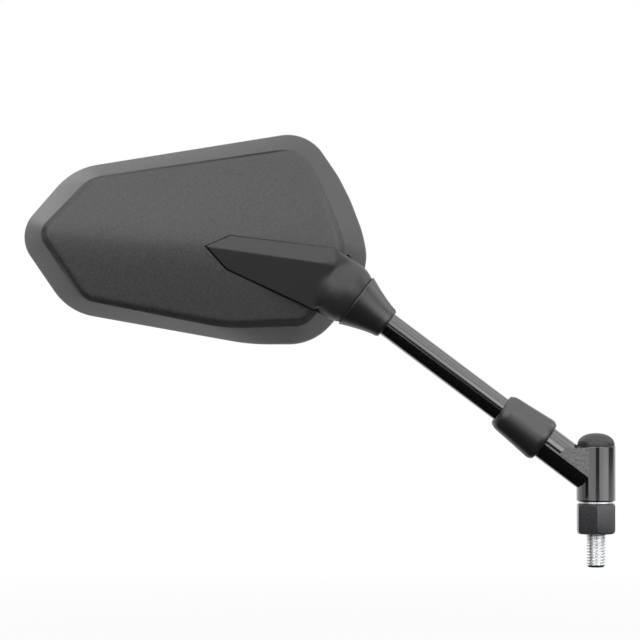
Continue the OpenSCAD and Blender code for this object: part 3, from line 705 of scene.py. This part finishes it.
def makeBracket():
    # Overlapping blocks, melted into one casting by a voxel mesh, then bored and drilled
    shape = bracketShape
    radius = shape["tube"]
    tube = onArm(bar(radius, armReach, shape["tubeEnd"]))
    half, margin = shape["keepHalf"], shape["keepMargin"]
    keep = boxAt((ballX - half, -margin, ballZ - half), (ballX + half, radius + margin, ballZ + half))
    combine(tube, keep, "INTERSECT")
    blocks = [coverBlock(), neckBlock(), tube]
    earFace = shape["back"] - shape["earThickness"]
    for ear, way in zip(shape["ears"], shape["earWays"]):
        x, z = ballX + ear[0], ballZ + ear[1]
        half = shape["tongue"] / 2
        sideX = half if way[0] == 0 else 0
        sideZ = half if way[1] == 0 else 0
        blocks.append(barAlongY((x, z), shape["earRadius"], earFace, shape["back"]))
        blocks.append(boxAt((min(x, x + way[0]) - sideX, earFace, min(z, z + way[1]) - sideZ),
                            (max(x, x + way[0]) + sideX, shape["back"], max(z, z + way[1]) + sideZ)))
    piece = joinPieces(blocks)
    addModifier(piece, "REMESH", {"mode": "VOXEL", "voxel_size": shape["voxel"] * mm})
    addModifier(piece, "SMOOTH", {"factor": 0.5, "iterations": shape["smooth"]})
    low, high = shape["blend"]
    crease = piece.vertex_groups.new(name="crease")
    for vertex in piece.data.vertices:
        along = (vertex.co - armFoot).dot(armWay) / mm
        if low < along < high and vertex.co.y < shape["blendFront"] * mm:
            inside = edgeDistance(Vector((vertex.co.x, vertex.co.z)) / mm) - shape["blendEdge"]
            fade = shape["blendFade"]
            weight = min((along - low) / fade, (high - along) / fade, inside / fade, 1)
            crease.add([vertex.index], max(weight, 0), "REPLACE")
    addModifier(piece, "SMOOTH", {
        "factor": 0.5, "iterations": shape["blendSmooth"], "vertex_group": "crease"})
    socket = shape["bore"] - shape["socketIn"]
    arc = [math.pi * k / 12 for k in range(4, 7)]
    roomStart, roomEnd = armReach - shape["roomFrom"], armReach - shape["roomTo"]
    bore = [(0, roomStart), (shape["roomRadius"], roomStart), (shape["roomNarrow"], roomEnd)]
    bore += [(socket * math.sin(a), armReach - socket * math.cos(a)) for a in arc]
    end = shape["tubeEnd"] + shape["borePast"]
    bore += [(shape["bore"], armReach + 0.5), (shape["bore"], end), (0, end)]
    combine(piece, onArm(turned(bore)), "DIFFERENCE")
    for ear in shape["ears"]:
        place = (ballX + ear[0], ballZ + ear[1])
        past = shape["drillPast"]
        combine(piece, barAlongY(place, shape["screw"], earFace - past, shape["back"] + past), "DIFFERENCE")
    finishPiece(piece, "bracketCasting", "head", "arm_bracket", "bracketPlastic", 40)


# The shell of the head

def makeShell():
    shape = headShape
    rim, wall, lip = shape["rimDepth"], shape["wall"], shape["lip"]
    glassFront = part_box("mirror_glass")[1].y / mm
    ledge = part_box("foam_pad")[0].y / mm - shape["ledgeBack"]
    pocket = lip - shape["pocketIn"]
    inner = [backRing(share, wall) for share in shape["innerShares"]]
    inner += [
        stepRing(wall, wall),
        levelRing(lip + shape["throatIn"], ledge - shape["throatBack"]),
        levelRing(lip + shape["ledgeIn"], ledge),
        levelRing(pocket, ledge),
        levelRing(pocket, glassFront + shape["pocketPast"])]
    soft = shape["roundings"]
    outer = softenedRings([
        (levelRing(lip, glassFront + shape["lipBehind"]), 0),
        (levelRing(lip, rim), soft["lip"]),
        (levelRing(0, rim), soft["rim"]),
        (levelRing(0, rim - shape["sideHeight"]), soft["side"]),
        (bandRing(shape["crest"]), soft["band"]),
        (stepRing(0, 0), soft["groove"]),
        (wallRing(), soft["wall"]),
        (backRing(0, 0), 0)])
    outer += [backRing(share, 0) for share in shape["outerShares"]]
    piece = loftedShell(inner + outer)
    earFace = bracketShape["back"] - bracketShape["earThickness"]
    for ear in bracketShape["ears"]:
        place = Vector((ballX + ear[0], ballZ + ear[1]))
        combine(piece, barAlongY(place, shape["post"], backY(place) + shape["postSink"], earFace), "UNION")
    room = bracketShape["full"] + shape["wayGap"]
    wayStart, wayEnd = armReach - shape["wayBack"], bracketShape["neckEnd"] + shape["wayPast"]
    combine(piece, onArm(bar(room, wayStart, wayEnd, 128)), "DIFFERENCE")
    drop = Vector((0, bracketShape["shutDrop"]))
    opening = [place - drop for place in bracketOutline(-bracketShape["shutline"])]
    combine(piece, prism(opening, shape["openingFront"], shape["openingBack"]), "DIFFERENCE")
    finishPiece(piece, "headShell", "head", "rear_housing", "grainedPlastic", 38)


def makeGlass():
    low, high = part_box("mirror_glass")
    piece = prism(headOutline(headShape["lip"] - 0.5), low.y / mm, high.y / mm)
    addModifier(piece, "BEVEL", {"width": 0.35 * mm, "segments": 2, "limit_method": "ANGLE"})
    finishPiece(piece, "mirrorPlate", "head", "mirror_glass", "silveredGlass")


makeShell()
print("shell made")
makeBracket()
print("bracket made")
makeGlass()
print("glass made")


# The arm

rodShape = {"diameter": 13, "foot": 10, "holeDiameter": 8.1, "holeDepth": 17, "chamfer": 0.6}
sleeveShape = {
    "slimEnd": 19.8,
    # corners at the wide end: in from the widest radius, up from the low end, rounding
    "wideCorners": [(1.2, 0, 0.9), (0, 2.2, 2.0), (0.35, 6, 2)],
    "middleIn": 0.1, "middleAt": 0.5, "middleRound": 6,
    # corners at the slim end: in from its radius, down from the high end, rounding
    "slimCorners": [(0, 2.6, 2.2), (1.6, 0, 0.8)],
    "mouth": (0.7, 0.6),  # width and depth of the bore's chamfer
    "nutPast": 1.5, "nutAround": 0.3,  # room beyond the lock nut and around it
}
bootShape = {
    "smallEnd": 17, "rim": 30, "curve": 1.3,
    "mouth": 0.4, "endIn": 0.8, "endRound": 0.6,  # chamfer and corner of the small end
    "ballGap": 0.3,  # between the boot's hollow and the neck's round rim
}
rubberFit = 0.05  # between the rod and the rubber pieces


def makeRod():
    shape = rodShape
    low, high = alongArm("stem_rod")
    r = shape["diameter"] / 2
    shoulder = alongArm("stem_lock_nut")[1] + 1
    hole = shape["holeDiameter"] / 2
    foot = shape["foot"] / 2
    holeEnd = high - shape["holeDepth"]
    piece = turned([
        (0, low), (foot, low, 0.8), (foot, shoulder), (r, shoulder, shape["chamfer"]), (r, high, 0.2),
        (hole, high), (hole, holeEnd), (0, holeEnd)], 128)
    finishPiece(onArm(piece), "glossRod", "arm", "stem_rod", "glossPaint")


def makeSleeve():
    shape = sleeveShape
    low, high = alongArm("lower_sleeve")
    r = armRadius("lower_sleeve")
    slim = shape["slimEnd"] / 2
    bore = rodShape["diameter"] / 2 + rubberFit
    room = alongArm("stem_lock_nut")[1] + shape["nutPast"]
    roomRadius = armRadius("stem_lock_nut") + shape["nutAround"]
    profile = [(roomRadius, low)]
    profile += [(r - inward, low + up, rounding) for inward, up, rounding in shape["wideCorners"]]
    middle = low + (high - low) * shape["middleAt"]
    profile.append(((r + slim) / 2 - shape["middleIn"], middle, shape["middleRound"]))
    profile += [(slim - inward, high - down, rounding) for inward, down, rounding in shape["slimCorners"]]
    width, depth = shape["mouth"]
    profile += [(bore + width, high), (bore, high - depth), (bore, room), (roomRadius, room)]
    piece = turned(profile, 128, closed=True)
    finishPiece(onArm(piece), "rubberSleeve", "sleeve", "lower_sleeve", "bootRubber")


def makeBoot():
    shape = bootShape
    low, high = alongArm("neck_boot")
    small, rim = shape["smallEnd"] / 2, shape["rim"] / 2
    bore = rodShape["diameter"] / 2 + rubberFit
    hollow = math.hypot(bracketShape["rim"], armReach - bracketShape["rimAt"]) + shape["ballGap"]
    outer = [(bore, low + shape["mouth"]), (bore + shape["mouth"], low),
             (small - shape["endIn"], low, shape["endRound"]), (small + 0.1, low + 1.2, 0.8)]
    steps = 20
    for k in range(2, steps):
        share = k / steps
        outer.append((small + (rim - small) * share ** shape["curve"], low + 1 + (high - low - 1.3) * share))
    outer += [(rim, high - 0.4, 0.4), (rim - 0.3, high)]
    widest = math.acos((armReach - high) / hollow)
    inner = math.asin(bore / hollow)
    arc = [widest + (inner - widest) * k / 12 for k in range(13)]
    sphere = [(hollow * math.sin(a), armReach - hollow * math.cos(a)) for a in arc]
    piece = turned(outer + sphere, 128, closed=True)
    finishPiece(onArm(piece), "rubberBoot", "boot", "neck_boot", "bootRubber", 45)


makeRod()
makeSleeve()
makeBoot()
print("arm made")


# The elbow with its cap, washer, nut and stud

elbowShape = {
    "barrel": 20.3, "bush": 13.7, "pocketDepth": 12, "pocketWall": 1.6,
    "stub": 18, "stubLength": 35, "footBore": 10.1, "footGrip": 20,
    "web": 18.2, "webAt": 24, "webShare": 0.66, "webTop": 0.5,
    "capGap": 0.15,
}
capShape = {"diameter": 19.4, "height": 6.7, "brim": 0.6, "wall": 1.5, "skirt": 1.2,
            "power": 2.2, "fall": 2.1}
washerShape = {"edge": 0.3}
nutShape = {"acrossFlats": 19, "bore": 10.1, "lowChamfer": 1.9, "highChamfer": 0.9, "edge": 0.25}
studShape = {
    "diameter": 10, "shank": 9.6, "pitch": 1.5, "depth": 0.5, "reach": 17.3, "tip": 1.2, "ring": 0.125,
    "crest": 0.3, "root": 0.14,  # flats of the thread, as shares of its pitch
    "headDiameter": 16, "headHeight": 7, "key": 8, "keyDepth": 4,
}


def makeElbow():
    shape = elbowShape
    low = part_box("swivel_bush")[0].z / mm
    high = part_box("barrel_cap")[0].z / mm + capShape["skirt"]
    r = shape["barrel"] / 2
    piece = turned([(0, low), (r, low, 0.5), (r, high, 0.4), (0, high)], 160)
    stubRadius, stubEnd = shape["stub"] / 2, shape["stubLength"]
    stub = onArm(turned([(0, 0), (stubRadius, 0), (stubRadius, stubEnd, 0.4), (0, stubEnd)], 160))
    slope = math.asin(armWay.z)
    meetZ = armFoot.z / mm
    webTop = high - shape["webTop"]
    cornerX = 1.2 - (high - meetZ - shape["webShare"] * shape["stub"] / 2 * math.cos(slope)) / math.tan(slope)
    web = prism([(0, meetZ), (-1, webTop), (cornerX, webTop),
                 (-shape["webAt"] * math.cos(slope), meetZ + shape["webAt"] * math.sin(slope))],
                -shape["web"] / 2, shape["web"] / 2)
    combine(piece, stub, "UNION")
    combine(piece, web, "UNION")
    pocket = shape["barrel"] / 2 - shape["pocketWall"]
    floor = high - shape["pocketDepth"]
    bush = shape["bush"] / 2
    combine(piece, turned([(0, low - 1), (bush, low - 1), (bush, floor), (pocket, floor),
                           (pocket, high + 1), (0, high + 1)], 160), "DIFFERENCE")
    foot, footBore = stubEnd - shape["footGrip"], shape["footBore"] / 2
    combine(piece, onArm(bar(footBore, foot, stubEnd + 1)), "DIFFERENCE")
    # The room for the cap starts just above the barrel's top, because two flush faces would break the cut
    room = capShape["diameter"] / 2 + shape["capGap"]
    above, capTop = high + 0.02, high + capShape["height"]
    combine(piece, bar(room, above, capTop, 144), "DIFFERENCE")
    finishPiece(piece, "elbowCasting", "arm", "elbow", "castPaint", 28)
    # The web's flat faces take a lighter grey: painted sheen for the light they reflect, over the same black
    # paint
    piece.data.materials.append(materials["paintedSheenFace"])
    webFace = shape["web"] / 2 * mm + 1e-5
    for face in piece.data.polygons:
        if abs(face.normal.y) > 0.995 and abs(face.center.y) < webFace and face.area > 4e-6:
            face.material_index = 1


def domeProfile(radius, height, foot, steps):
    profile = []
    for k in range(steps + 1):
        across = math.sin(math.pi / 2 * k / steps)
        up = height * max(1 - across ** capShape["power"], 0) ** (1 / capShape["fall"])
        profile.append((radius * across, foot + up))
    return profile


def makeCap():
    shape = capShape
    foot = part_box("barrel_cap")[0].z / mm + shape["skirt"]
    r = shape["diameter"] / 2
    skirt = elbowShape["barrel"] / 2 - elbowShape["pocketWall"] - elbowShape["capGap"]
    inner = skirt - shape["wall"]
    profile = domeProfile(r, shape["height"] - shape["brim"], foot + shape["brim"], 18)
    end = foot - shape["skirt"]
    profile += [(r, foot + 0.15), (r - 0.15, foot), (skirt, foot), (skirt, end), (inner, end)]
    profile += domeProfile(inner, shape["height"] - shape["wall"], foot, 10)[::-1]
    finishPiece(turned(profile, 128), "domeCap", "arm", "barrel_cap", "capPlastic", 40)


def makeWasher():
    low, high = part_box("lock_washer")
    r = (high.x - low.x) / 2 / mm
    bore = nutShape["bore"] / 2 + 0.2
    edge = washerShape["edge"]
    under, top = low.z / mm, high.z / mm
    piece = turned([(bore, under), (r - edge, under), (r, under + edge, 0.1), (r, top - edge, 0.1),
                    (r - edge, top), (bore, top)], 96, closed=True)
    finishPiece(piece, "brightWasher", "washer", "lock_washer", "zincPlate")


def makeNut():
    shape = nutShape
    low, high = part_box("clamp_nut")[0].z / mm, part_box("clamp_nut")[1].z / mm
    corner = shape["acrossFlats"] / 2 / math.cos(math.pi / 6)
    flat = shape["acrossFlats"] / 2 - 0.3
    piece = hexBar(shape["acrossFlats"], low, high)
    chamfer = turned([(0, low), (flat, low), (corner + 0.2, low + shape["lowChamfer"]),
                      (corner + 0.2, high - shape["highChamfer"]), (flat, high), (0, high)], 128)
    combine(piece, chamfer, "INTERSECT")
    bore = shape["bore"] / 2
    mouth = 0.6
    flare = bore + mouth + 1
    combine(piece, turned([(0, low - 1), (flare, low - 1), (bore, low + mouth), (bore, high - mouth),
                           (flare, high + 1), (0, high + 1)], 96), "DIFFERENCE")
    addModifier(piece, "BEVEL", {"width": shape["edge"] * mm, "segments": 2, "limit_method": "ANGLE",
                                 "angle_limit": math.radians(32)})
    finishPiece(piece, "tallNut", "nut", "clamp_nut", "blackOxide", 15)


def threadRadius(z, angle):
    # A right-hand thread: depth of its groove at a height and an angle, cut off by the tip's chamfer
    shape = studShape
    r = shape["diameter"] / 2
    turn = (z / shape["pitch"] - angle / (2 * math.pi)) % 1
    flank = (abs(turn - 0.5) - shape["crest"] / 2) / (0.5 - shape["crest"] / 2 - shape["root"] / 2)
    groove = shape["depth"] * min(max(flank, 0), 1)
    chamfer = max(shape["tip"] - (z + shape["reach"]), 0) * 0.8
    return min(r - groove, r - chamfer)


def makeStud():
    # A bar with many rings, whose points are then drawn in along the thread's helix
    shape = studShape
    r, reach, ring = shape["diameter"] / 2, shape["reach"], shape["ring"]
    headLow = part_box("mount_bolt")[1].z / mm - shape["headHeight"]
    head = shape["headDiameter"] / 2
    top = headLow + shape["headHeight"]
    profile = [(0, -reach), (r - shape["tip"], -reach)]
    profile += [(r, ring * k - reach) for k in range(1, math.ceil(reach / ring))]
    shank = shape["shank"] / 2
    profile += [(shank, 0), (shank, headLow), (head, headLow, 0.3), (head, top, 0.6), (0, top)]
    piece = turned(profile, 120)
    for vertex in piece.data.vertices:
        x, y, z = vertex.co / mm
        if -reach + 0.01 < z < -0.01:
            angle = math.atan2(y, x)
            new = threadRadius(z, angle)
            vertex.co = Vector((new * math.cos(angle), new * math.sin(angle), z)) * mm
    combine(piece, hexBar(shape["key"], top - shape["keyDepth"], top + 1), "DIFFERENCE")
    finishPiece(piece, "threadedBolt", "mount", "mount_bolt", "zincPlate", 30)


makeElbow()
makeCap()
makeWasher()
makeNut()
makeStud()
print("elbow and stud made")


# CAD nodes that keep their shape take the finish of what they are made of

keptNodes = {
    "disc_springs": "springSteel", "swivel_bush": "naturalNylon", "thrust_washer": "naturalNylon",
    "stem_lock_nut": "springSteel", "ball_stud": "zincPlate", "ball_seat": "naturalNylon",
    "pressure_cup": "naturalNylon", "preload_spring": "springSteel", "preload_plug": "springSteel",
    "bracket_screws": "zincPlate", "glass_carrier": "carrierPlastic", "foam_pad": "adhesiveFoam",
}
for node, material in keptNodes.items():
    mesh = frame["nodes"][node].data
    mesh.materials.clear()
    mesh.materials.append(materials[material])
print("inner pieces finished")


# Stage: pale floor, white all around, soft lamps, black flags around the object, and the camera

stageShape = {
    "floorZ": -80, "floorSize": 6000,
    "shadowShare": 0.25,  # how much of the floor's own shading the camera sees around the object
    "shadowFrom": 350, "shadowTo": 750,  # that share fades to nothing between these distances
    "cameraDistance": 1600, "frameWidth": 331.6, "centreX": -143, "centreZ": 110.7,
}
# name: place and size in metres, and the way it faces
flags = {
    "floorFlag": ((-0.32, -0.47, -0.07), (1.25, 1.16), (0, 0, 1)),
    "frontFlag": ((-0.14, -1.75, 1.16), (4.7, 2.48), (0, 1, 0)),
    "rightFlag": ((2.2, -0.58, 1.16), (2.35, 2.48), (-1, 0, 0)),
    "rightLowFlag": ((2.2, 0.92, 0.22), (0.65, 0.6), (-1, 0, 0)),
    "leftFlag": ((-2.5, -0.83, 1.16), (1.85, 2.48), (1, 0, 0)),
    "topFlag": ((-0.14, -0.68, 2.4), (4.7, 2.15), (0, 0, 1)),
}
# name: place and size in metres, and power in watts
lamps = {
    "overheadBox": ((-0.14, -0.15, 1.25), (3.0, 1.1), 19),
    "frontTopBox": ((-0.14, -1.1, 0.87), (2.8, 1.35), 23),
    "leftBox": ((-0.59, -1.1, 0.25), (1.0, 0.9), 4.3),
    "rightBox": ((0.82, -0.88, 0.25), (1.4, 0.9), 7.3),
    "rightHighBox": ((1.05, 0.2, 0.65), (0.8, 0.6), 2.7),
    "backBox": ((-0.95, 0.8, 0.85), (1.0, 0.7), 2.6),
}


def makeFloor():
    # White to the camera and in reflections, with the object's soft shadow; plain and pale for soft light
    shape = stageShape
    bpy.ops.mesh.primitive_plane_add(
        size=shape["floorSize"] * mm, location=(shape["centreX"] * mm, 0, shape["floorZ"] * mm))
    floor = bpy.context.object
    floor.name = "floor"
    material, tree, output, place = newMaterial("paleFloor")
    ray = addNode(tree, "ShaderNodeLightPath").outputs
    direct = addNode(tree, "ShaderNodeMath", {"operation": "MAXIMUM"}, {
        0: ray["Is Camera Ray"], 1: ray["Is Glossy Ray"]})
    seen = addNode(tree, "ShaderNodeMath", {"operation": "MAXIMUM"}, {
        0: direct.outputs["Value"], 1: ray["Is Transmission Ray"]})
    matte = addNode(tree, "ShaderNodeBsdfDiffuse", {"Color": linearColour("#c6c6c5")})
    bright = addNode(tree, "ShaderNodeEmission", {"Color": linearColour("#ffffff"), "Strength": 1})
    distance = addNode(tree, "ShaderNodeVectorMath", {"operation": "LENGTH"}, {0: place})
    white = addNode(tree, "ShaderNodeMapRange", {
        "From Min": shape["shadowFrom"] * mm, "From Max": shape["shadowTo"] * mm,
        "To Min": 1 - shape["shadowShare"], "To Max": 1}, {"Value": distance.outputs["Value"]})
    share = addNode(tree, "ShaderNodeMath", {"operation": "MULTIPLY"}, {
        0: seen.outputs["Value"], 1: white.outputs["Result"]})
    mixed = addNode(tree, "ShaderNodeMixShader", {}, {
        0: share.outputs["Value"], 1: matte.outputs["BSDF"], 2: bright.outputs["Emission"]})
    tree.links.new(mixed.outputs["Shader"], output.inputs["Surface"])
    floor.data.materials.append(material)


def flagCloth():
    # Black studio cloth, which gives back next to no light
    material, tree, output, place = newMaterial("flagCloth")
    cloth = addNode(tree, "ShaderNodeBsdfDiffuse", {"Color": linearColour("#0a0a0a")})
    tree.links.new(cloth.outputs["BSDF"], output.inputs["Surface"])
    return material


def addFlag(name, place, size, facing, cloth):
    # A black flag darkens what the object sees in its direction; the camera doesn't see it
    bpy.ops.mesh.primitive_plane_add(size=1, location=place)
    flag = bpy.context.object
    flag.name = name
    flag.rotation_euler = Vector(facing).to_track_quat("Z", "Y").to_euler()
    flag.scale = (size[0], size[1], 1)
    flag.data.materials.append(cloth)
    flag.visible_camera = False


def makeSky():
    # Plain white all around
    world = bpy.data.worlds.new("studio")
    bpy.context.scene.world = world
    world.use_nodes = True
    tree = world.node_tree
    tree.nodes.clear()
    output = addNode(tree, "ShaderNodeOutputWorld")
    sky = addNode(tree, "ShaderNodeBackground", {"Color": linearColour("#ffffff"), "Strength": 1})
    tree.links.new(sky.outputs["Background"], output.inputs["Surface"])


def addLamp(name, place, size, power, aim=(-0.14, 0, 0.1)):
    bpy.ops.object.light_add(type="AREA", location=place)
    lamp = bpy.context.object
    lamp.name = name
    lamp.data.shape = "RECTANGLE"
    lamp.data.size, lamp.data.size_y = size
    lamp.data.energy = power
    lamp.rotation_euler = (Vector(aim) - Vector(place)).to_track_quat("-Z", "Y").to_euler()


def makeCamera():
    shape = stageShape
    data = bpy.data.cameras.new("camera")
    camera = bpy.data.objects.new("camera", data)
    bpy.context.scene.collection.objects.link(camera)
    data.sensor_width = 36
    data.lens = 36 * shape["cameraDistance"] / shape["frameWidth"]
    data.clip_start = 0.05
    camera.location = (shape["centreX"] * mm, -shape["cameraDistance"] * mm, shape["centreZ"] * mm)
    camera.rotation_euler = (math.radians(90), 0, 0)
    bpy.context.scene.camera = camera


makeFloor()
makeSky()
cloth = flagCloth()
for name, (place, size, facing) in flags.items():
    addFlag(name, place, size, facing, cloth)
floorFlag = bpy.data.objects["floorFlag"]
floorFlag.visible_shadow = False  # so that it doesn't dim the floor under it
floorFlag.visible_diffuse = False
for name, (place, size, power) in lamps.items():
    addLamp(name, place, size, power)
makeCamera()
bpy.context.scene.view_settings.view_transform = "Standard"
print("stage made")
